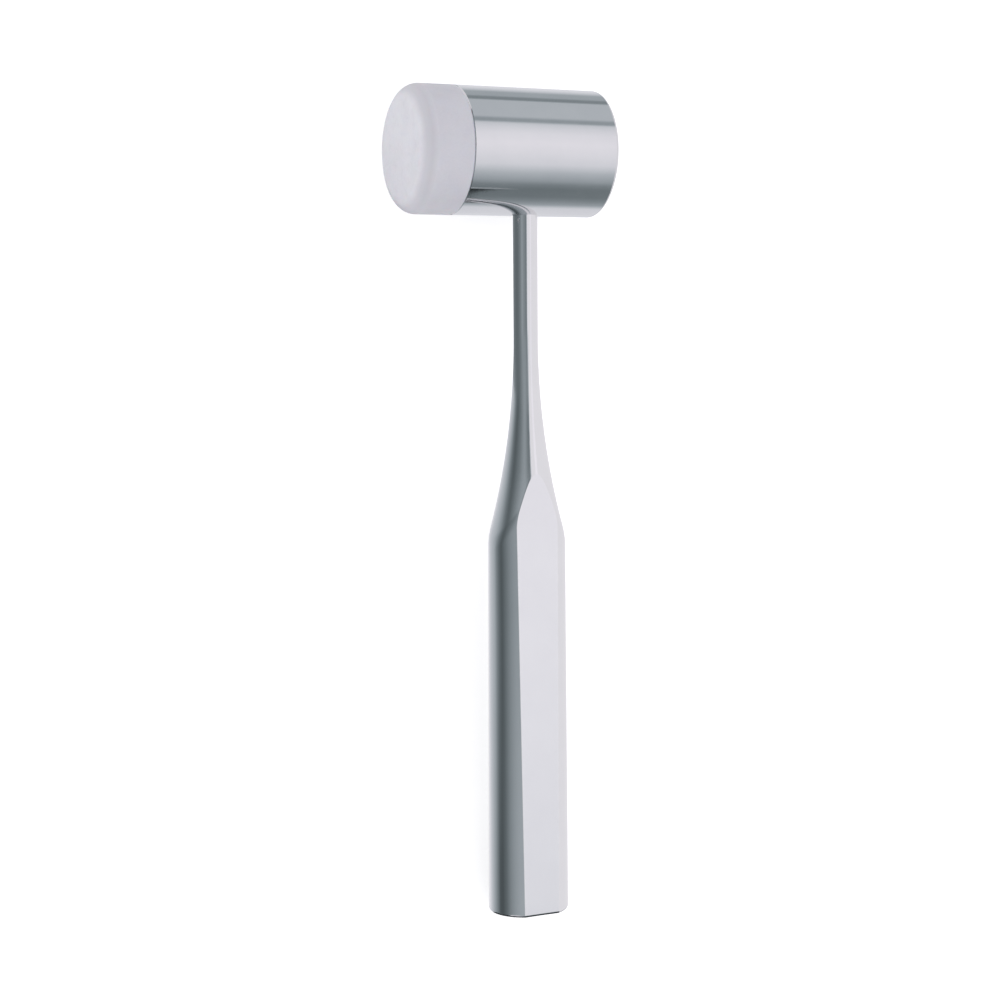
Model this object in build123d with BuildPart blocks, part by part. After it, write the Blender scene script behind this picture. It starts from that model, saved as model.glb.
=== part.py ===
from build123d import *
from math import acos, asin, atan2, cos, degrees, hypot, radians, sin, tan
import os

# A surgical bone mallet, lying on a table as it comes to rest. Sizes are in millimetres.

# Head: a turned steel cylinder, with a nylon face screwed into one end.
head_diameter = 36.4
seam_to_handle = 23.4
handle_to_steel_face = 21.2
steel_face_radius = 0.8
seam_chamfer = 0.25

# Nylon face: its spigot screws into the head's socket, and both threads are left plain.
nylon_length = 15.0
nylon_face_radius = 4.8
spigot_diameter = 16.0
spigot_length = 12.0
spigot_chamfer = 1.0
relief_width = 2.0
relief_depth = 0.9
thread_gap = 0.05
socket_spare_depth = 1.5
drill_point_angle = 118.0

# Handle: neck, flare and grip are one piece of steel, with a tenon brazed into the head.
overall_length = 240.0
tenon_diameter = 5.0
tenon_length = 11.0
tenon_chamfer = 0.4
braze_gap = 0.04
neck_diameter = 7.1
neck_length = 34.9
flare_radius = 218.0

# Grip: an oval bar with a broad flat ground on its front and one on its back. It is measured
# square across the handle at the shoulder and at the butt, and tapers evenly between them.
# Its thickness is taken over the flats, and the crown is how much they took off the oval.
shoulder_width = 23.4
butt_width = 24.0
shoulder_thickness = 14.9
butt_thickness = 18.8
shoulder_crown = 3.1
butt_crown = 2.4
shoulder_round = 9.0
flat_edge_radius = 0.3
butt_edge_radius = 0.8

head_radius = head_diameter / 2
neck_radius = neck_diameter / 2

# Distances down the handle, from the head's axis. The flare ends where it is as wide as the grip.
neck_top = (head_radius**2 - neck_radius**2) ** 0.5
neck_bottom = head_radius + neck_length
flare_rise = shoulder_width / 2 - neck_radius
shoulder_distance = neck_bottom + (flare_radius**2 - (flare_radius - flare_rise) ** 2) ** 0.5
butt_distance = overall_length - head_radius
grip_length = butt_distance - shoulder_distance


def tapered(at_shoulder, at_butt, distance):
    """Size of the grip this far below the head's axis, on its even taper."""
    return at_shoulder + (at_butt - at_shoulder) * (distance - shoulder_distance) / grip_length


# The mallet lies on the head's round side and on the rounded lower edge of the butt. That edge's
# centre stands one edge radius above the table, and the handle's slope follows from it.
flat_angle = atan2((butt_thickness - shoulder_thickness) / 2, grip_length)
edge_centre_distance = butt_distance - butt_edge_radius
edge_centre_depth = (
    tapered(shoulder_thickness, butt_thickness, edge_centre_distance) / 2
    - butt_edge_radius / cos(flat_angle)
)
edge_reach = hypot(edge_centre_distance, edge_centre_depth)
slope = asin((head_radius - butt_edge_radius) / edge_reach) - atan2(edge_centre_depth, edge_centre_distance)
butt_reach = edge_centre_distance * cos(slope) + edge_centre_depth * sin(slope) + butt_edge_radius

# The origin is on the table, under the middle of the whole mallet. In the mallet's own plane X runs
# along the head to the steel face, Y up the handle and Z out of the front flat.
head_centre = (
    (seam_to_handle + nylon_length - handle_to_steel_face) / 2,
    (butt_reach - head_radius) / 2,
    head_radius,
)
mallet_plane = Plane(origin=head_centre, x_dir=(1, 0, 0), z_dir=(0, -sin(slope), cos(slope)))
side_plane = Plane(origin=head_centre, x_dir=mallet_plane.y_dir, z_dir=(1, 0, 0))
head_axis = Axis(head_centre, mallet_plane.x_dir)
handle_axis = Axis(head_centre, mallet_plane.y_dir)
front_axis = Axis(head_centre, mallet_plane.z_dir)


def across_handle(distance):
    """Plane square to the handle, this far below the head's axis, facing up the handle."""
    return Plane(
        origin=mallet_plane.from_local_coords((0, -distance, 0)),
        x_dir=mallet_plane.x_dir,
        z_dir=mallet_plane.y_dir,
    )


# Head: turned outside, drilled for the spigot's thread in one end and for the tenon from below.
socket_radius = spigot_diameter / 2 + thread_gap
socket_bottom = -seam_to_handle + spigot_length + socket_spare_depth
socket_point = socket_bottom + socket_radius / tan(radians(drill_point_angle / 2))
tenon_distance = head_radius - tenon_length

with BuildPart() as head:
    with BuildSketch(mallet_plane):
        with BuildLine():
            Polyline(
                (socket_point, 0),
                (socket_bottom, socket_radius),
                (-seam_to_handle + seam_chamfer, socket_radius),
                (-seam_to_handle, socket_radius + seam_chamfer),
                (-seam_to_handle, head_radius - seam_chamfer),
                (-seam_to_handle + seam_chamfer, head_radius),
                (handle_to_steel_face, head_radius),
                (handle_to_steel_face, 0),
                close=True,
            )
        make_face()
    revolve(axis=head_axis)
    fillet(head.edges().filter_by(GeomType.CIRCLE).sort_by(Axis.X)[-1], steel_face_radius)
    with BuildSketch(across_handle(tenon_distance - braze_gap)):
        Circle(tenon_diameter / 2 + braze_gap)
    extrude(amount=-head_radius, mode=Mode.SUBTRACT)
head.part.label = "head"

# Nylon face: turned from bar, with a broad round rim, and a relief where the thread runs out.
spigot_radius = spigot_diameter / 2
with BuildPart() as nylon_face:
    with BuildSketch(mallet_plane):
        with BuildLine():
            Polyline(
                (-seam_to_handle - nylon_length, 0),
                (-seam_to_handle - nylon_length, head_radius),
                (-seam_to_handle - seam_chamfer, head_radius),
                (-seam_to_handle, head_radius - seam_chamfer),
                (-seam_to_handle, spigot_radius - relief_depth),
                (-seam_to_handle + relief_width, spigot_radius - relief_depth),
                (-seam_to_handle + relief_width + relief_depth, spigot_radius),
                (-seam_to_handle + spigot_length, spigot_radius),
                (-seam_to_handle + spigot_length, 0),
                close=True,
            )
        make_face()
    revolve(axis=head_axis)
    rims = nylon_face.edges().filter_by(GeomType.CIRCLE).sort_by(Axis.X)
    fillet(rims[0], nylon_face_radius)
    chamfer(nylon_face.edges().filter_by(GeomType.CIRCLE).sort_by(Axis.X)[-1], spigot_chamfer)
nylon_face.part.label = "nylon_face"

# Handle: the oval bar of the grip is turned down to the flare and the neck, the shoulder is blended,
# and the two flats are ground last, so each flat runs out in a curve where it meets the flare.
shoulder_depth = shoulder_thickness + shoulder_crown
butt_depth = butt_thickness + butt_crown
turned_radius = max(butt_width, butt_depth, shoulder_width, shoulder_depth) / 2 + 1
flare_angle = degrees(acos(1 - (turned_radius - neck_radius) / flare_radius))
cope_allowance = 1.0

with BuildPart() as handle:
    for distance in (0, butt_distance):
        with BuildSketch(across_handle(distance)):
            Ellipse(
                tapered(shoulder_width, butt_width, distance) / 2,
                tapered(shoulder_depth, butt_depth, distance) / 2,
            )
    loft(ruled=True)
    with BuildSketch(mallet_plane):
        with BuildLine():
            neck = Line((neck_radius, -neck_top + cope_allowance), (neck_radius, -neck_bottom))
            flare = JernArc(neck @ 1, (0, -1), flare_radius, flare_angle)
            Polyline(
                flare @ 1,
                (turned_radius, -butt_distance),
                (0, -butt_distance),
                (0, -neck_top + cope_allowance),
                neck @ 0,
            )
        make_face()
    revolve(axis=handle_axis, mode=Mode.INTERSECT)
    shoulder_edges = handle.edges().filter_by(GeomType.BSPLINE).filter_by(lambda edge: edge.is_closed)
    fillet(shoulder_edges, shoulder_round)

    # Each flat is a plane that leans out towards the butt with the grip's taper.
    for side in (1, -1):
        with BuildSketch(side_plane):
            with BuildLine():
                Polyline(
                    (0, side * tapered(shoulder_thickness, butt_thickness, 0) / 2),
                    (-butt_distance, side * butt_thickness / 2),
                    (-butt_distance, side * turned_radius),
                    (0, side * turned_radius),
                    close=True,
                )
            make_face()
        extrude(amount=turned_radius, both=True, mode=Mode.SUBTRACT)
    plane_faces = handle.faces().filter_by(GeomType.PLANE).sort_by(front_axis)
    flat_sides = (plane_faces[0].edges() + plane_faces[-1].edges()).filter_by(GeomType.LINE, reverse=True)
    fillet(flat_sides, flat_edge_radius)
    butt_face = handle.faces().filter_by(GeomType.PLANE).sort_by(handle_axis)[0]
    fillet(butt_face.edges(), butt_edge_radius)

    # The neck's end is coped to the head's round side, and the tenon stands up inside the head.
    with BuildSketch(side_plane):
        Circle(head_radius)
    extrude(amount=neck_diameter, both=True, mode=Mode.SUBTRACT)
    with BuildSketch(across_handle(head_radius)):
        Circle(tenon_diameter / 2)
    extrude(amount=tenon_length)
    chamfer(handle.edges().filter_by(GeomType.CIRCLE).sort_by(handle_axis)[-1], tenon_chamfer)
handle.part.label = "handle"

os.makedirs("parts", exist_ok=True)
export_step(head.part, "parts/head.step")
export_step(nylon_face.part, "parts/nylon_face.step")
export_step(handle.part, "parts/handle.step")
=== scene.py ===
# %% [markdown]
# # A surgical mallet on a white table
# The mallet has three pieces: a polished steel head, a white nylon face screwed into it, and a steel
# handle with a broad flat ground on its front and one on its back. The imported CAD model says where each
# piece is. This lesson gives the pieces their finish, and the mallet a table, a studio and a camera.

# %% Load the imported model
import math

import bpy
from mathutils import Matrix, Vector


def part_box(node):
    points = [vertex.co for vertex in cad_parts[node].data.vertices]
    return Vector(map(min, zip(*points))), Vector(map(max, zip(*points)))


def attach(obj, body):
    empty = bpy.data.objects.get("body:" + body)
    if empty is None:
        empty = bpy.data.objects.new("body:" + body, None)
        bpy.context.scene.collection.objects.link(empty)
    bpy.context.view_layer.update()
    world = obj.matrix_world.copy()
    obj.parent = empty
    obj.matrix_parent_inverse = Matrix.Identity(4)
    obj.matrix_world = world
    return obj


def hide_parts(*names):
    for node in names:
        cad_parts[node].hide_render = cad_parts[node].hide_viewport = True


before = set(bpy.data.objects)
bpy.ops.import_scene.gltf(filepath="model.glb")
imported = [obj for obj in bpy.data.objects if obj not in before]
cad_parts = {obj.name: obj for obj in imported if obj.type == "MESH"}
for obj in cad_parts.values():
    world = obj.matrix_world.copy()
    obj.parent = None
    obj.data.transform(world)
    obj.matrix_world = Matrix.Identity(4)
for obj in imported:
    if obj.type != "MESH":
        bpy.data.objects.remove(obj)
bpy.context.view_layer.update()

# %% [markdown]
# The mallet lies on the head's round side and on the butt's lower edge, so its handle slopes down a
# little. Everything on the handle is easier to say in the mallet's own directions: along the head
# towards the steel face, up the handle, and out of the front flat. The slope follows from the sizes,
# as it does on the bench: one end rests on the head's radius, the other on half the butt's thickness.

# %% Find the mallet's own directions
MM = 0.001
head_low, head_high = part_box("head")
handle_low, handle_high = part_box("handle")
head_radius = (head_high.z - head_low.z) / 2 / MM
overall_length = 240.0
butt_distance = overall_length - head_radius
butt_thickness = 18.8
butt_edge_radius = 0.8
rest_distance = butt_distance - butt_edge_radius
rest_depth = butt_thickness / 2 - butt_edge_radius
handle_slope = math.asin(
    (head_radius - butt_edge_radius) / math.hypot(rest_distance, rest_depth)
) - math.atan2(rest_depth, rest_distance)

handle_axis_x = (handle_low.x + handle_high.x) / 2
head_axis_y = (head_low.y + head_high.y) / 2
head_centre = Vector((handle_axis_x, head_axis_y, head_radius * MM))
along_head = Vector((1, 0, 0))
up_handle = Vector((0, math.cos(handle_slope), math.sin(handle_slope)))
out_of_front = along_head.cross(up_handle)


def on_mallet(along, down, out):
    """Point given in millimetres along the head, down the handle and out of the front flat."""
    return head_centre + (along_head * along - up_handle * down + out_of_front * out) * MM


print("head's centre in mm:", [round(c / MM, 2) for c in head_centre])
print("handle slopes down", round(math.degrees(handle_slope), 2), "degrees")

# %% [markdown]
# The photograph looks down on the mallet from the nylon side, through a long lens. A camera is kept as
# plain facts: the point in the middle of the picture, how far off the camera is in metres, how far it is
# turned to the side, tilted and rolled, and how long its lens is in millimetres. Blender's camera looks
# along its own -Z, so its Z points back at us.

# %% Set up the camera
aim = on_mallet(-8.5, 99.9, 0)
camera_distance = 0.5744
turn_to_nylon = math.radians(24.43)
tilt_to_head = math.radians(4.98)
camera_roll = math.radians(-0.37)
lens_length = 71.3
film_width = 36

towards_camera = (
    along_head * -math.sin(turn_to_nylon) * math.cos(tilt_to_head)
    + up_handle * math.sin(tilt_to_head)
    + out_of_front * math.cos(turn_to_nylon) * math.cos(tilt_to_head)
)
camera_right = up_handle.cross(towards_camera).normalized()
camera_up = towards_camera.cross(camera_right)
camera_axes = Matrix((camera_right, camera_up, towards_camera)).transposed()
camera_data = bpy.data.cameras.new("camera")
camera_data.sensor_width = film_width
camera_data.lens = lens_length
camera_data.clip_start = 0.01
camera = bpy.data.objects.new("camera", camera_data)
camera.matrix_world = (
    Matrix.Translation(aim + towards_camera * camera_distance)
    @ camera_axes.to_4x4()
    @ Matrix.Rotation(camera_roll, 4, "Z")
)
scene = bpy.context.scene
scene.collection.objects.link(camera)
scene.camera = camera
print("camera stands at, in mm:", [round(c / MM) for c in camera.matrix_world.translation])

# %% [markdown]
# A node material is a small graph. Three helpers keep the graphs short to read: one starts an empty
# material, one adds a node with its settings, and one joins two sockets.

# %% Helpers for node materials
def new_material(name):
    """Empty node material and its output node."""
    material = bpy.data.materials.new(name)
    material.use_nodes = True
    material.node_tree.nodes.clear()
    return material, material.node_tree.nodes.new("ShaderNodeOutputMaterial")


def add_node(owner, kind, sockets=None, **settings):
    """Adds a node to a material or world, sets its settings and then its input sockets."""
    node = owner.node_tree.nodes.new("ShaderNode" + kind)
    for name, value in settings.items():
        setattr(node, name, value)
    for name, value in (sockets or {}).items():
        node.inputs[name].default_value = value
    return node


def join(owner, source, target):
    """Runs a noodle from one node's output to another node's input."""
    owner.node_tree.links.new(source, target)


print("helpers ready: new_material, add_node, join")

# %% [markdown]
# The table is a plain white sheet. The lamps light it like any surface. A little light of its own,
# which lights nothing else, brings it up to the photograph's white and leaves the mallet's shadow on it.
# Mirrors don't show the table: the steel has bent cards to show instead, which come next.

# %% Lay the table
table_size = 3.0
table_paint = (0.88, 0.88, 0.88, 1)
table_glow = 0.57


def any_ray(owner, *kinds):
    """Value that is 1 for a ray of any of these kinds, and 0 for all others."""
    path = add_node(owner, "LightPath")
    found = path.outputs[kinds[0]]
    for kind in kinds[1:]:
        either = add_node(owner, "Math", operation="MAXIMUM")
        join(owner, found, either.inputs[0])
        join(owner, path.outputs[kind], either.inputs[1])
        found = either.outputs[0]
    return found


def table_white():
    material, output = new_material("table_white")
    paint = add_node(material, "BsdfDiffuse", {"Color": table_paint})
    strength = add_node(material, "Math", {1: table_glow}, operation="MULTIPLY")
    glow = add_node(material, "Emission")
    both = add_node(material, "AddShader")
    seen = any_ray(material, "Is Camera Ray", "Is Glossy Ray", "Is Transmission Ray")
    join(material, seen, strength.inputs[0])
    join(material, strength.outputs[0], glow.inputs["Strength"])
    join(material, paint.outputs[0], both.inputs[0])
    join(material, glow.outputs[0], both.inputs[1])
    join(material, both.outputs[0], output.inputs["Surface"])
    return material


def sheet(name, corners, material):
    """Four-cornered sheet for the studio, which is not part of the mallet."""
    mesh = bpy.data.meshes.new(name)
    mesh.from_pydata(corners, [], [(0, 1, 2, 3)])
    mesh.materials.append(material)
    flat = bpy.data.objects.new(name, mesh)
    scene.collection.objects.link(flat)
    return flat


half = table_size / 2
table_corners = [(-half, -half, 0), (half, -half, 0), (half, half, 0), (-half, half, 0)]
table = sheet("table", table_corners, table_white())
table.visible_glossy = False
print("table laid,", table_size, "m square")

# %% [markdown]
# Polished steel shows little of itself and much of the room. A photographer bends grey cards round it,
# so that the steel has dark and light bands which show its roundness. Here a card is an arc round an
# axis, with a shade at each angle: -90 is the near side or the left, 0 is straight up, and 90 the far
# side or the right. It is seen by reflections only, so it throws no shadow and never stands in the
# camera's way. The mesh carries each point's shade, and the material reads it. Dark shades lean towards
# green and light ones towards lilac, as they do in the photograph.

# %% Helper for bent cards
light_tint = (1.025, 0.985, 1.03)
dark_tint = (0.82, 1.01, 1.07)


def card_glow():
    """Material that glows in the shade that each point of its mesh carries."""
    material, output = new_material("card_glow")
    shade = add_node(material, "Attribute", attribute_name="shade")
    tint = add_node(material, "MixRGB", {"Color1": (*dark_tint, 1), "Color2": (*light_tint, 1)})
    glow = add_node(material, "Emission")
    join(material, shade.outputs["Fac"], tint.inputs["Fac"])
    join(material, tint.outputs["Color"], glow.inputs["Color"])
    join(material, shade.outputs["Fac"], glow.inputs["Strength"])
    join(material, glow.outputs[0], output.inputs["Surface"])
    return material


def shade_at(shades, angle):
    """Shade at an angle, from a list of (angle, shade) read in a straight line between entries."""
    for (before, dark), (after, light) in zip(shades, shades[1:]):
        if angle <= after:
            return dark + (light - dark) * (angle - before) / (after - before)
    return shades[-1][1]


def bent_card(name, centre, around, radius, columns, step=2.0):
    """Arc card round the room's X or Y, in metres, with a row of points every `step` degrees.

    Each column is a place along the axis and its list of shades; the first one's angles set the arc.
    """
    first_shades = columns[0][1]
    first, last = first_shades[0][0], first_shades[-1][0]
    angles = [first + step * i for i in range(int((last - first) / step))] + [last]
    points, glows = [], []
    for angle in angles:
        out = radius * math.sin(math.radians(angle))
        up = radius * math.cos(math.radians(angle))
        for place, shades in columns:
            offset = Vector((place, out, up)) if around == "X" else Vector((out, place, up))
            points.append(centre + offset)
            glows.append(shade_at(shades, angle))
    wide = len(columns)
    faces = [
        (r * wide + c, r * wide + c + 1, (r + 1) * wide + c + 1, (r + 1) * wide + c)
        for r in range(len(angles) - 1)
        for c in range(wide - 1)
    ]
    mesh = bpy.data.meshes.new(name)
    mesh.from_pydata(points, [], faces)
    mesh.materials.append(card_material)
    mesh.attributes.new("shade", "FLOAT", "POINT").data.foreach_set("value", glows)
    card = bpy.data.objects.new(name, mesh)
    scene.collection.objects.link(card)
    card.visible_camera = False
    card.visible_diffuse = False
    card.visible_shadow = False
    card.visible_transmission = False
    return card


card_material = card_glow()
print("card material ready")

# %% [markdown]
# The head's round side mirrors a narrow strip of the room: a circle round the head, seen a little to the
# right. One bent card fills that circle. Reading it from below the near side, over the top and down the
# far side gives the bands in the photograph: dark near the bottom, bright across the middle, a thin dark
# line, a grey band, and a second thin line near the top. The shades are found one by one: render, lay the
# picture beside the photograph, change an entry, and render again.

# %% Bend a card round the head
head_card_radius = 1.2
head_shades = [
    (-180, 0.78), (-138, 0.80), (-125, 0.78), (-114, 0.42), (-103, 0.29), (-93, 0.22), (-75, 0.205),
    (-66, 0.265), (-58, 0.40), (-43, 0.56), (-36, 0.68), (-28, 0.80), (-8, 0.88), (8, 0.92), (26, 0.88),
    (36, 0.80), (44, 0.71), (48, 0.37), (53, 0.37), (57, 0.56), (94, 0.55), (97, 0.27), (104, 0.29),
    (108, 0.44), (122, 0.45), (131, 0.68), (142, 0.80), (180, 0.78),
]
head_columns = [(0.38, head_shades), (0.74, head_shades)]
head_card = bent_card("head_card", head_centre, "X", head_card_radius, head_columns)
print("head card:", len(head_card.data.polygons), "faces")

# %% [markdown]
# The handle is narrow and mirrors the room from left to right. Its left side is dark, with a crisp step
# to bright near the middle. A card bent over the handle from below, round the left and up to the top
# makes both. Its shades change along the handle: one list for the butt, one for the grip, and two for
# the flare, whose sides lean back and mirror the room beyond the head.

# %% Bend a card round the handle's left
handle_card_radius = 1.5
handle_middle = Vector((head_centre.x, 0, 15 * MM))
butt_shades = [
    (-180, 0.86), (-171, 0.83), (-155, 0.66), (-140, 0.50), (-119, 0.265), (-104, 0.10), (-93, 0.092),
    (-78, 0.155), (-63, 0.27), (-50, 0.345), (-36, 0.40), (-20, 0.42), (0, 0.42),
]
grip_shades = [
    (-180, 0.86), (-171, 0.81), (-157, 0.66), (-140, 0.55), (-122, 0.44), (-108, 0.255), (-96, 0.155),
    (-86, 0.108), (-80, 0.118), (-66, 0.19), (-52, 0.27), (-38, 0.33), (-20, 0.34), (0, 0.34),
]
flare_shades = [
    (-180, 0.66), (-151, 0.57), (-136, 0.48), (-120, 0.33), (-112, 0.24), (-104, 0.18), (-96, 0.135),
    (-88, 0.12), (-79, 0.14), (-71, 0.17), (-63, 0.195), (-55, 0.23), (-47, 0.28), (-39, 0.32), (-31, 0.33),
    (-23, 0.27), (-15, 0.20), (-5, 0.20), (-2, 0.80), (0, 0.80),
]
shoulder_shades = [
    (-180, 0.66), (-151, 0.58), (-136, 0.49), (-120, 0.33), (-112, 0.24), (-104, 0.165), (-96, 0.13),
    (-88, 0.15), (-80, 0.20), (-71, 0.25), (-63, 0.30), (-55, 0.35), (-47, 0.39), (-20, 0.42), (0, 0.42),
]
handle_columns = [
    (-3.5, butt_shades), (-0.50, butt_shades), (-0.26, grip_shades), (-0.06, grip_shades),
    (0.24, flare_shades), (0.38, flare_shades), (0.50, shoulder_shades), (1.6, shoulder_shades),
]
handle_card = bent_card("handle_card", handle_middle, "Y", handle_card_radius, handle_columns)
print("handle card:", len(handle_card.data.polygons), "faces")

# %% [markdown]
# The neck is darker at its left edge than the flare is. A small card bent closely round the neck can
# differ from the far one without the flare seeing it. It starts where the flare ends, with one list of
# shades that leads over from the far card and one for the neck itself.

# %% Bend a small card round the neck
small_card_radius = 0.1
neck_top_shades = [
    (-180, 0.40), (-151, 0.36), (-136, 0.26), (-127, 0.22), (-112, 0.17), (-96, 0.15), (-79, 0.16),
    (-63, 0.22), (-47, 0.31), (-31, 0.34), (-15, 0.24), (-5, 0.22), (-2, 0.80), (0, 0.80),
]
neck_shades = [
    (-180, 0.22), (-151, 0.22), (-127, 0.155), (-99, 0.155), (-87, 0.185), (-71, 0.235), (-55, 0.34),
    (-39, 0.28), (-23, 0.23), (-13, 0.20), (-9, 0.82), (0, 0.82),
]
neck_columns = [(0.041, neck_top_shades), (0.048, neck_shades), (0.104, neck_shades)]
neck_card = bent_card("neck_card", handle_middle, "Y", small_card_radius, neck_columns)
print("neck card:", len(neck_card.data.polygons), "faces")

# %% [markdown]
# The butt's edge is rounded by less than a millimetre. Such an edge shows as a thin dark line with a
# bright one over it, when it has something to mirror. A small card off the butt's end gives it that:
# nearly black below, then a bright stripe on the left, which fades out towards the flat.

# %% Bend a small card for the butt's edge
left_edge_shades = [(-150, 0.03), (-70, 0.03), (-64, 1.3), (-48, 1.3), (-42, 0.28), (-28, 0.28)]
middle_edge_shades = [(-150, 0.03), (-58, 0.03), (-52, 1.3), (-40, 1.3), (-34, 0.40), (-28, 0.40)]
flat_edge_shades = [(-150, 0.03), (-38, 0.03), (-32, 0.45), (-26, 0.75)]
butt_columns = [
    (-0.15, left_edge_shades), (-0.08, middle_edge_shades),
    (-0.03, flat_edge_shades), (0.11, flat_edge_shades),
]
butt_card = bent_card("butt_card", on_mallet(0, butt_distance, 0), "X", small_card_radius, butt_columns)
print("butt card:", len(butt_card.data.polygons), "faces")

# %% [markdown]
# The room beyond the cards is white for the camera, a little greyer in the steel, and dimmer again as a
# light, so that white nylon keeps its own shade. The world can give each kind of ray its own answer,
# because a light path node says which kind is asking.

# %% Set the room's brightness
room_colour = (1.0, 0.99, 1.02, 1)
room_for_camera = 1.0
room_in_steel = 0.83
room_light = 0.565

world = bpy.data.worlds.new("white_room")
scene.world = world
world.use_nodes = True
room = world.node_tree.nodes["Background"]
room.inputs["Color"].default_value = room_colour
steel_sees = add_node(world, "MapRange", {"To Min": room_light, "To Max": room_in_steel})
camera_sees = add_node(world, "MapRange", {"To Max": room_for_camera})
join(world, any_ray(world, "Is Glossy Ray", "Is Transmission Ray"), steel_sees.inputs["Value"])
join(world, any_ray(world, "Is Camera Ray"), camera_sees.inputs["Value"])
join(world, steel_sees.outputs["Result"], camera_sees.inputs["To Min"])
join(world, camera_sees.outputs["Result"], room.inputs["Strength"])
print("room: camera", room_for_camera, "steel", room_in_steel, "light", room_light)

# %% [markdown]
# Three square lamps make the soft studio light. A large one high on the right gives the shadow, a low
# one on the left lights the nylon's face a little more than its side, and a weak one on the near side
# lifts the underside. All are kept out of the reflections, which the cards already shape.

# %% Hang the lamps
cool_white = (0.95, 0.98, 1.12)
soft_white = (0.97, 0.99, 1.06)


def soft_lamp(name, place, size, watts, colour=(1, 1, 1)):
    """Square lamp, in metres, that points at the mallet's middle and stays out of the reflections."""
    data = bpy.data.lights.new(name, "AREA")
    data.size = size
    data.energy = watts
    data.color = colour
    lamp = bpy.data.objects.new(name, data)
    lamp.location = place
    lamp.rotation_euler = Vector(place).to_track_quat("Z", "Y").to_euler()
    lamp.visible_glossy = False
    scene.collection.objects.link(lamp)
    return lamp


right_lamp = soft_lamp("right_lamp", (0.85, 0.25, 0.65), 0.7, 2.8, cool_white)
left_lamp = soft_lamp("left_lamp", (-0.85, 0.12, 0.14), 0.4, 3.0)
near_lamp = soft_lamp("near_lamp", (0.10, -0.90, 0.25), 0.5, 1.0, soft_white)
print("lamps:", right_lamp.name, left_lamp.name, near_lamp.name)

# %% [markdown]
# ## The handle
# The handle is one piece of steel: a slim round neck, a long flare that was turned on a lathe, and an
# oval grip whose front and back were ground flat. The CAD mesh has the right shape but its triangles
# are too coarse for a mirror, so the handle is drawn again from the same sizes as a fine mesh of rings,
# each square to the handle. Its sizes come first. The crown is how much grinding both flats took off the
# oval. The corner between flare and grip is blended, and the flats' edges are broken by a fraction of a
# millimetre. The shoulder, where the flare has grown as wide as the grip, follows from the sizes.

# %% Give the handle's sizes, in millimetres
neck_radius = 3.55
neck_length = 34.9
flare_radius = 218.0
shoulder_width = 23.4
butt_width = 24.0
shoulder_thickness = 14.9
shoulder_crown = 3.1
butt_crown = 2.4
shoulder_blend = 0.60
flat_edge_width = 0.16

neck_bottom = head_radius + neck_length
flare_rise = shoulder_width / 2 - neck_radius
shoulder_distance = neck_bottom + math.sqrt(flare_radius**2 - (flare_radius - flare_rise) ** 2)
print("shoulder at", round(shoulder_distance, 1), "mm, butt at", round(butt_distance, 1), "mm")

# %% [markdown]
# The handle is made as on the bench. An oval bar is turned down to the flare and the neck, so at each
# place the smaller of the two radii is what is left, and then the flats are ground. Each of these cuts is
# a short function of the distance down the handle, and all later steps only ask these functions.

# %% Say what each cut leaves
def tapered(at_shoulder, at_butt, distance):
    """Size of the grip this far down the handle, on its even taper."""
    share = (distance - shoulder_distance) / (butt_distance - shoulder_distance)
    return at_shoulder + (at_butt - at_shoulder) * share


def turned_radius(distance):
    """Radius that the lathe left: the neck, then the flare's long arc."""
    past_neck = max(0.0, min(distance - neck_bottom, flare_radius))
    return neck_radius + flare_radius - math.sqrt(flare_radius**2 - past_neck**2)


def oval_radius(distance, angle):
    """Radius of the grip's oval bar, at an angle from straight out of the front."""
    half_width = tapered(shoulder_width, butt_width, distance) / 2
    at_shoulder = shoulder_thickness + shoulder_crown
    at_butt = butt_thickness + butt_crown
    half_depth = tapered(at_shoulder, at_butt, distance) / 2
    return 1 / math.hypot(math.sin(angle) / half_width, math.cos(angle) / half_depth)


def blank_radius(distance, angle):
    """Radius before the flats are ground: the smaller of the two, blended where they meet."""
    turned, oval = turned_radius(distance), oval_radius(distance, angle)
    closeness = max(shoulder_blend - abs(turned - oval), 0) / shoulder_blend
    return min(turned, oval) - closeness**2 * shoulder_blend / 4


def flat_height(distance):
    """Height of the ground flat above the handle's axis."""
    return tapered(shoulder_thickness, butt_thickness, distance) / 2


for place in (neck_bottom, shoulder_distance, butt_distance):
    across = round(2 * blank_radius(place, math.pi / 2), 1)
    print("handle is", across, "mm wide", round(place, 1), "mm down")

# %% [markdown]
# Each ring needs the angle at which its flat begins. Above the flat's tip there is none, so a very
# small angle stands in for it, and the ring stays round. The angle is found by halving: as long as the
# blank still stands above the flat, the edge lies further round.

# %% Find where each flat begins
narrowest_flat = math.radians(2.5)
halvings = 40


def flat_edge_angle(distance):
    """Angle from the front to the flat's edge, where the blank meets the flat."""
    low, high = 0.0, math.pi / 2
    for _ in range(halvings):
        middle = (low + high) / 2
        if blank_radius(distance, middle) * math.cos(middle) > flat_height(distance):
            low = middle
        else:
            high = middle
    return max(low, narrowest_flat)


def flat_tip():
    """Distance down the handle at which the flats start on the flare."""
    low, high = neck_bottom, shoulder_distance
    for _ in range(halvings):
        middle = (low + high) / 2
        if turned_radius(middle) < flat_height(middle):
            low = middle
        else:
            high = middle
    return high


tip_distance = flat_tip()
print("flats start", round(tip_distance, 2), "mm down the handle")

# %% [markdown]
# One quarter of a ring runs from the middle of the flat to its edge, round the edge with three close
# points, and on round the side. The other quarters mirror it. Each point also carries two marks that the
# steel's material will read: how much it lies on the flat's edge, and how much on the flat. Both grow
# from nothing over the first stretch below the flat's tip. `inset` draws the ring in a little, which the
# rounded edge of the butt needs.

# %% Draw one ring
points_on_flat = 8
points_on_side = 26
edge_softening = 0.4
ground_fade = 25.0


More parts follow.
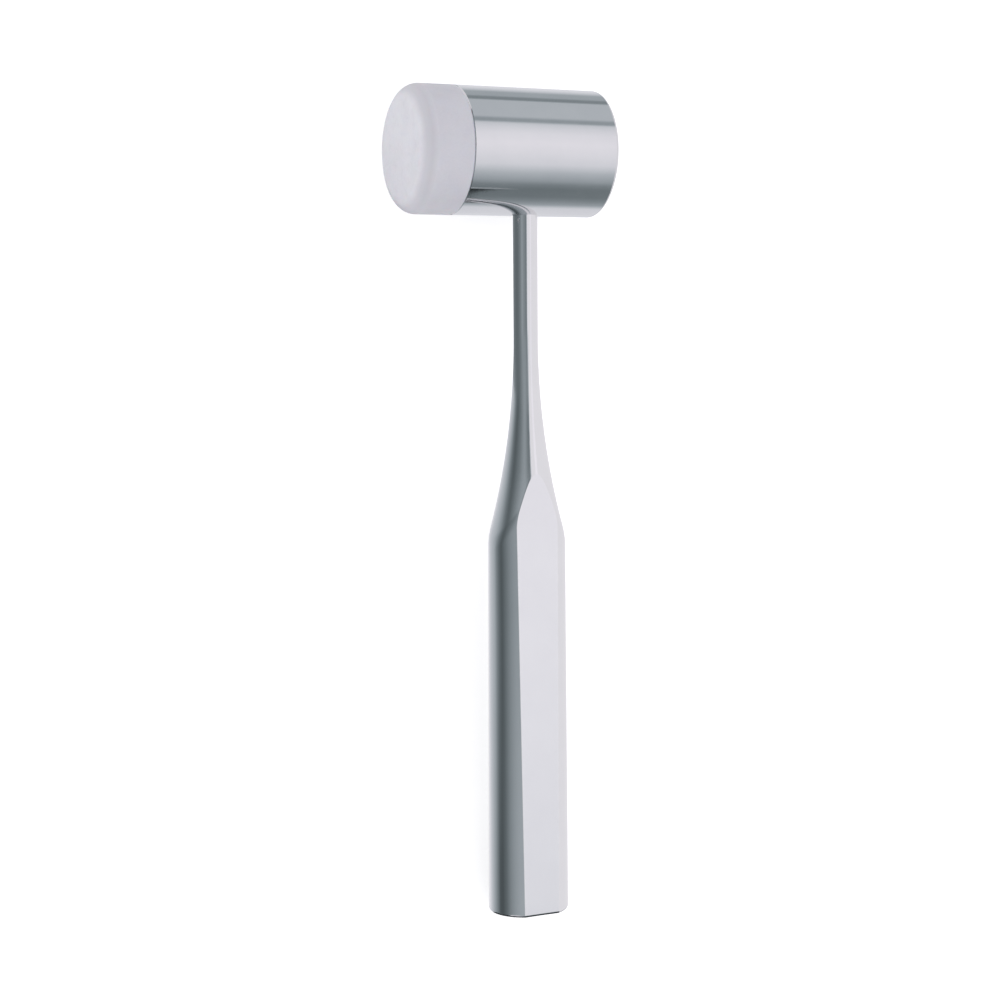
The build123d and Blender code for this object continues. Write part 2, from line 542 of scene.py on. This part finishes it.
def ground_point(distance, angle, inset):
    """Point of a ring, along the head and out of the front, on the flat or on the blank."""
    radius = blank_radius(distance, angle)
    radius = min(radius, flat_height(distance) / max(math.cos(angle), 1e-6)) - inset
    return radius * math.sin(angle), radius * math.cos(angle)


def quarter_ring(distance, inset=0.0):
    """Quarter of a ring, as (x, z, on the edge, on the flat)."""
    edge_angle = flat_edge_angle(distance)
    edge_step = min(flat_edge_width / blank_radius(distance, edge_angle), edge_angle / 3)
    start, end = edge_angle - edge_step, edge_angle + edge_step
    angles = [start * i / points_on_flat for i in range(points_on_flat)]
    angles += [start, edge_angle, end]
    angles += [end + (math.pi / 2 - end) * (i + 1) / points_on_side for i in range(points_on_side)]
    points = [ground_point(distance, angle, inset) for angle in angles]
    corner = points_on_flat + 1
    between = (Vector(points[corner - 1]) + Vector(points[corner + 1])) / 2
    points[corner] = tuple(Vector(points[corner]).lerp(between, edge_softening))
    ground = max(0.0, min((distance - tip_distance) / ground_fade, 1.0))
    marked = []
    for i, point in enumerate(points):
        on_edge = ground if abs(i - corner) <= 1 else 0.0
        on_flat = ground if i < corner else 0.0
        marked.append(point + (on_edge, on_flat))
    return marked


def full_ring(distance, inset=0.0):
    """Whole ring, clockwise from the front: four quarters, each the mirror image of the one before."""
    quarter = quarter_ring(distance, inset)
    front_right = quarter[:-1]
    back_right = [(x, -z, edge, flat) for x, z, edge, flat in reversed(quarter[1:])]
    back_left = [(-x, -z, edge, flat) for x, z, edge, flat in quarter[:-1]]
    front_left = [(-x, z, edge, flat) for x, z, edge, flat in reversed(quarter[1:])]
    return front_right + back_right + back_left + front_left


print("points in a ring:", len(full_ring(150.0)))

# %% [markdown]
# The rings stand close together where the shape changes fast, at the flat's tip and the shoulder, and
# far apart where it runs straight. The neck's first two rings aren't flat: they are cut to the head's
# round side, one just under its surface and one deeper. So neck and head meet without a gap, and the
# mesh's closed end, which would bend the smooth shading, is hidden in the head. The butt's last rings
# turn in on a small radius. A ring's points are (x, distance down the handle, z, edge, flat), in
# millimetres.

# %% Set out the rings
seat_depth = 0.2
hidden_depth = 1.7
first_flat_ring = head_radius + 1.0
tip_stretch = 3.0
tip_rings = 12
shoulder_stretch = 27.0
butt_steps = 6
grip_end = butt_distance - butt_edge_radius


def evenly(first, last, count):
    """Even steps from the first place up to, but not on, the last."""
    return [first + (last - first) * i / count for i in range(count)]


def seated_ring(depth):
    """Ring of the neck that follows the head's round side, this far below its surface."""
    return [
        (x, math.sqrt(head_radius**2 - z**2) - depth, z, edge, flat)
        for x, z, edge, flat in full_ring(head_radius)
    ]


def level_ring(distance, inset=0.0):
    """Ring square to the handle."""
    return [(x, distance, z, edge, flat) for x, z, edge, flat in full_ring(distance, inset)]


ring_distances = evenly(first_flat_ring, neck_bottom, 14)
ring_distances += evenly(neck_bottom, tip_distance, 36)
ring_distances += [tip_distance + tip_stretch * (i / tip_rings) ** 2 for i in range(tip_rings)]
ring_distances += evenly(tip_distance + tip_stretch, tip_distance + shoulder_stretch, 60)
ring_distances += evenly(tip_distance + shoulder_stretch, grip_end, 24)

rings = [seated_ring(hidden_depth), seated_ring(seat_depth)]
rings += [level_ring(distance) for distance in ring_distances]
for i in range(butt_steps + 1):
    turn = math.radians(90 * i / butt_steps)
    inset = butt_edge_radius * (1 - math.cos(turn))
    rings.append(level_ring(grip_end + butt_edge_radius * math.sin(turn), inset))
print("rings:", len(rings))

# %% [markdown]
# The rings are joined by quads, and both ends are closed. The mesh keeps each point's place along the
# handle as `bench`, in millimetres, so that polishing lines can run straight down the handle although it
# lies at a slope.

# %% Build the handle
def skin(name, rings):
    """Mesh over rings of equal length, closed at both ends, with each point's place and marks."""
    count = len(rings[0])
    points = [point for ring in rings for point in ring]
    last_ring = range(len(points) - count, len(points))
    faces = [tuple(range(count)), tuple(reversed(last_ring))]
    for start in range(0, last_ring.start, count):
        for i in range(count):
            here = start + i
            beside = start + (i + 1) % count
            faces.append((here, here + count, beside + count, beside))
    mesh = bpy.data.meshes.new(name)
    mesh.from_pydata([on_mallet(*point[:3]) for point in points], [], faces)
    bench = [number for point in points for number in point[:3]]
    mesh.attributes.new("bench", "FLOAT_VECTOR", "POINT").data.foreach_set("vector", bench)
    for mark, place in (("edge", 3), ("ground", 4)):
        amounts = [point[place] for point in points]
        mesh.attributes.new(mark, "FLOAT", "POINT").data.foreach_set("value", amounts)
    mesh.shade_smooth()
    return mesh


handle = bpy.data.objects.new("polished_handle", skin("polished_handle", rings))
scene.collection.objects.link(handle)
even_shading = handle.modifiers.new("even_shading", "WEIGHTED_NORMAL")
even_shading.keep_sharp = True
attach(handle, "root")
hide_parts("handle")
print("handle:", len(handle.data.polygons), "faces")

# %% [markdown]
# ## The finishes
# A finish is made by arithmetic on noise. These helpers make noise, move a value from one range to
# another, multiply and add. The noise's scale is in waves per unit of the place it is given: over a
# place in metres, 75 gives clouds about 13 mm wide, and 2600 a grain of about 0.4 mm.

# %% Helpers for values
def feed(material, value, socket):
    """Joins another node's socket to this one, or sets a plain number or colour."""
    if isinstance(value, bpy.types.NodeSocket):
        join(material, value, socket)
    else:
        socket.default_value = value


def noise(material, vector, scale, detail=3.0, roughness=0.55):
    """Grey noise over a vector; its value stays near one half."""
    texture = add_node(material, "TexNoise", {"Scale": scale, "Detail": detail, "Roughness": roughness})
    join(material, vector, texture.inputs["Vector"])
    return texture.outputs["Fac"]


def moved(material, value, old_low, old_high, new_low, new_high):
    """Value carried from one range into another, and held inside it."""
    share = add_node(
        material, "MapRange",
        {"From Min": old_low, "From Max": old_high, "To Min": new_low, "To Max": new_high},
    )
    join(material, value, share.inputs["Value"])
    return share.outputs["Result"]


def spread(material, grey, low, high):
    """Noise, most of which lies between 0.3 and 0.7, spread over a range."""
    return moved(material, grey, 0.3, 0.7, low, high)


def times(material, first, second):
    """Product of two values; the second may be a plain number."""
    product = add_node(material, "Math", operation="MULTIPLY")
    join(material, first, product.inputs[0])
    feed(material, second, product.inputs[1])
    return product.outputs[0]


def total(material, first, *others):
    """Sum of values."""
    for other in others:
        together = add_node(material, "Math", operation="ADD")
        join(material, first, together.inputs[0])
        join(material, other, together.inputs[1])
        first = together.outputs[0]
    return first


print("helpers ready: noise, moved, spread, times, total")

# %% [markdown]
# Three more helpers blend colours, raise a relief and put a finish together. Marks on polished metal are
# about a hundredth of a millimetre deep, so a bump's distance is tiny: 0.00001 m is just that.

# %% Helpers for colour and relief
def blend_colour(material, share, first, second):
    """Colour between two, by a value from 0 to 1; each may be a colour or a node's socket."""
    mix = add_node(material, "MixRGB")
    join(material, share, mix.inputs["Fac"])
    feed(material, first, mix.inputs["Color1"])
    feed(material, second, mix.inputs["Color2"])
    return mix.outputs["Color"]


def bump(material, height, strength, distance, below=None):
    """Surface relief from a height, in metres; `below` is another relief to lay it on."""
    relief = add_node(material, "Bump", {"Strength": strength, "Distance": distance})
    join(material, height, relief.inputs["Height"])
    if below is not None:
        join(material, below, relief.inputs["Normal"])
    return relief.outputs["Normal"]


def finish_surface(shader, output, material, colour, rough, relief):
    """Joins what a finish is made of to its shader, and the shader to the material's output."""
    join(material, colour, shader.inputs["Base Color"])
    join(material, rough, shader.inputs["Roughness"])
    join(material, relief, shader.inputs["Normal"])
    join(material, shader.outputs[0], output.inputs["Surface"])
    return material


def give(piece, material):
    """Puts a material on a piece in place of what it had."""
    piece.data.materials.clear()
    piece.data.materials.append(material)


print("helpers ready: blend_colour, bump, finish_surface, give")

# %% [markdown]
# The head and the nylon face were turned on a lathe, which leaves fine rings. On any turned piece, one
# number follows the profile: the place along the axis plus the distance from it. Noise over that number
# gives rings on the round side and circles on the flat end alike, whichever way the surface faces.

# %% Rings that a lathe leaves
ring_drift = 40.0


def turned_place(material, towards_end):
    """Object place, place along the head, and the number that follows the turned profile, in metres."""
    place = add_node(material, "TexCoord").outputs["Object"]
    centred = add_node(material, "VectorMath", operation="SUBTRACT")
    centred.inputs[1].default_value = (0, head_centre.y, head_centre.z)
    join(material, place, centred.inputs[0])
    across = add_node(material, "VectorMath", operation="MULTIPLY")
    across.inputs[1].default_value = (0, 1, 1)
    join(material, centred.outputs["Vector"], across.inputs[0])
    radius = add_node(material, "VectorMath", operation="LENGTH")
    join(material, across.outputs["Vector"], radius.inputs[0])
    parts = add_node(material, "SeparateXYZ")
    join(material, place, parts.inputs[0])
    along = times(material, parts.outputs["X"], towards_end)
    return place, along, total(material, along, radius.outputs["Value"])


def turning_rings(material, place, profile, rings_per_metre):
    """Noise that changes fast along the profile and slowly round the piece."""
    sockets = {"Scale": ring_drift, "Detail": 3.0, "Roughness": 0.6}
    texture = add_node(material, "TexNoise", sockets, noise_dimensions="4D")
    join(material, place, texture.inputs["Vector"])
    join(material, times(material, profile, rings_per_metre / ring_drift), texture.inputs["W"])
    return texture.outputs["Fac"]


print("a ring's pattern drifts over about", round(1 / ring_drift / MM), "mm of the piece")

# %% [markdown]
# The head is stainless steel, turned and then polished with a mop. What is left to see are very fine
# rings, a faint haze from handling, and small bright knocks on the striking end and its edge, where it
# meets the chisels. The haze changes the roughness more than the colour, as it does on real steel.

# %% Finish the head
head_end = head_high.x
knocks_begin = head_end - 1.6 * MM
knocks_full = head_end - 0.3 * MM
mopped_steel = (0.745, 0.745, 0.765, 1)
bright_steel = (0.79, 0.79, 0.805, 1)


def polished_head():
    material, output = new_material("polished_steel")
    steel = add_node(material, "BsdfPrincipled", {"Metallic": 1.0})
    place, along, profile = turned_place(material, 1)
    rings = turning_rings(material, place, profile, 3200.0)
    haze = noise(material, place, 75.0, 4.0, 0.6)
    grain = noise(material, place, 2600.0, 2.0, 0.5)
    spots = moved(material, noise(material, place, 520.0, 2.0), 0.58, 0.66, 0.0, 1.0)
    at_end = moved(material, along, knocks_begin, knocks_full, 0.0, 1.0)
    knocks = times(material, spots, at_end)

    shade = total(material, spread(material, haze, 0.0, 0.7), times(material, knocks, 0.5))
    colour = blend_colour(material, shade, mopped_steel, bright_steel)
    rough = total(
        material,
        spread(material, rings, 0.04, 0.09),
        spread(material, grain, 0.0, 0.02),
        moved(material, haze, 0.35, 0.75, -0.01, 0.035),
        times(material, knocks, 0.12),
    )
    relief = bump(material, rings, 0.35, 0.00001)
    relief = bump(material, grain, 0.3, 0.000006, relief)
    relief = bump(material, knocks, 0.6, 0.00006, relief)
    return finish_surface(steel, output, material, colour, rough, relief)


give(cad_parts["head"], polished_head())
print("head finished; its striking end is at x =", round(head_end / MM, 1), "mm")

# %% [markdown]
# The handle is polished lengthwise, so its lines run from neck to butt: the noise is stretched along the
# handle and squeezed across it. It is measured in the millimetres of `bench`, so its scales are small.
# The flats are ground, and a touch more satin than the rest. Their colour also carries a painted sheen, a
# lighter tone that stands in for the brighter reflection they show. Their edges have been rubbed bright in
# the hand and in the instrument tray, in patches, not evenly.

# %% Finish the handle
line_stretch = (3.2, 0.035, 3.2)
drawn_steel = (0.83, 0.825, 0.845, 1)
# lighter steel for the rubbed edges, and for the painted sheen on the flats
rubbed_and_sheen_steel = (0.895, 0.89, 0.905, 1)


def polished_handle():
    material, output = new_material("handle_steel")
    steel = add_node(material, "BsdfPrincipled", {"Metallic": 1.0})
    bench = add_node(material, "Attribute", attribute_name="bench").outputs["Vector"]
    edge = add_node(material, "Attribute", attribute_name="edge").outputs["Fac"]
    ground = add_node(material, "Attribute", attribute_name="ground").outputs["Fac"]
    stretch = add_node(material, "VectorMath", operation="MULTIPLY")
    stretch.inputs[1].default_value = line_stretch
    join(material, bench, stretch.inputs[0])
    lines = noise(material, stretch.outputs["Vector"], 1.0, 3.0, 0.6)
    haze = noise(material, bench, 0.07, 4.0, 0.6)
    grain = noise(material, bench, 2.6, 2.0, 0.5)
    patches = moved(material, noise(material, bench, 0.4), 0.4, 0.6, 0.1, 1.0)
    rubbed = times(material, edge, patches)

    shade = total(
        material,
        spread(material, haze, 0.0, 0.4),
        times(material, rubbed, 0.3),
        # painted sheen: the flats are lightened to stand in for the brighter reflection they show
        times(material, ground, 0.5),
    )
    colour = blend_colour(material, shade, drawn_steel, rubbed_and_sheen_steel)
    rough = total(
        material,
        spread(material, lines, 0.05, 0.10),
        spread(material, grain, 0.0, 0.02),
        moved(material, haze, 0.35, 0.75, -0.01, 0.035),
        times(material, ground, 0.04),
        times(material, rubbed, 0.06),
    )
    relief = bump(material, lines, 0.35, 0.00001)
    relief = bump(material, grain, 0.3, 0.000006, relief)
    return finish_surface(steel, output, material, colour, rough, relief)


give(handle, polished_handle())
print("handle finished")

# %% [markdown]
# The nylon face is white with a trace of lilac, a little translucent, and satin from the lathe. Its
# striking end carries shallow, soft dents and scuffs from use, which the rounded rim and the side do not.
# Nylon takes up some dirt: a slow mottling makes it greyer here and there. The rim is painted a little
# greyer all round: a painted shade, because the rim gets less light than the face and the side.

# %% Finish the nylon face
nylon_low, nylon_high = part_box("nylon_face")
nylon_end = -nylon_low.x
clean_nylon = (0.775, 0.77, 0.81, 1)
grimy_nylon = (0.70, 0.695, 0.74, 1)
# grey of the painted shade on the rim
rim_shade_nylon = (0.60, 0.595, 0.64, 1)


def turned_nylon():
    material, output = new_material("white_nylon")
    sockets = {"Subsurface Weight": 0.12, "Subsurface Scale": 0.002, "IOR": 1.53}
    nylon = add_node(material, "BsdfPrincipled", sockets)
    place, along, profile = turned_place(material, -1)
    rings = turning_rings(material, place, profile, 2200.0)
    mottle = noise(material, place, 110.0, 5.0, 0.6)
    specks = noise(material, place, 1500.0, 3.0, 0.6)
    at_end = moved(material, along, nylon_end - 1.0 * MM, nylon_end - 0.1 * MM, 0.0, 1.0)
    scratches = moved(material, noise(material, place, 330.0, 5.0, 0.7), 0.50, 0.68, 0.0, 1.0)
    scuffs = times(material, scratches, at_end)
    dents = times(material, noise(material, place, 190.0, 1.0), at_end)
    towards_rim = moved(material, along, nylon_end - 4.2 * MM, nylon_end - 2.6 * MM, 0.0, 0.65)
    off_the_end = moved(material, along, nylon_end - 1.2 * MM, nylon_end - 0.2 * MM, 1.0, 0.0)

    grime = total(
        material,
        moved(material, mottle, 0.35, 0.7, 0.0, 0.55),
        moved(material, specks, 0.35, 0.7, 0.0, 0.3),
        times(material, scuffs, 0.35),
    )
    colour = blend_colour(material, grime, clean_nylon, grimy_nylon)
    # painted shade: the rim, between the side and the striking end, is darkened all round
    colour = blend_colour(material, times(material, towards_rim, off_the_end), colour, rim_shade_nylon)
    rough = total(
        material,
        spread(material, rings, 0.33, 0.43),
        spread(material, mottle, 0.0, 0.06),
        times(material, scuffs, 0.15),
    )
    relief = bump(material, rings, 0.4, 0.00003)
    relief = bump(material, dents, 0.5, 0.0006, relief)
    relief = bump(material, specks, 0.3, 0.00003, relief)
    return finish_surface(nylon, output, material, colour, rough, relief)


give(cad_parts["nylon_face"], turned_nylon())
print("nylon face finished; its striking end is at x =", round(-nylon_end / MM, 1), "mm")

# %% Finish
scene.view_settings.view_transform = "Standard"
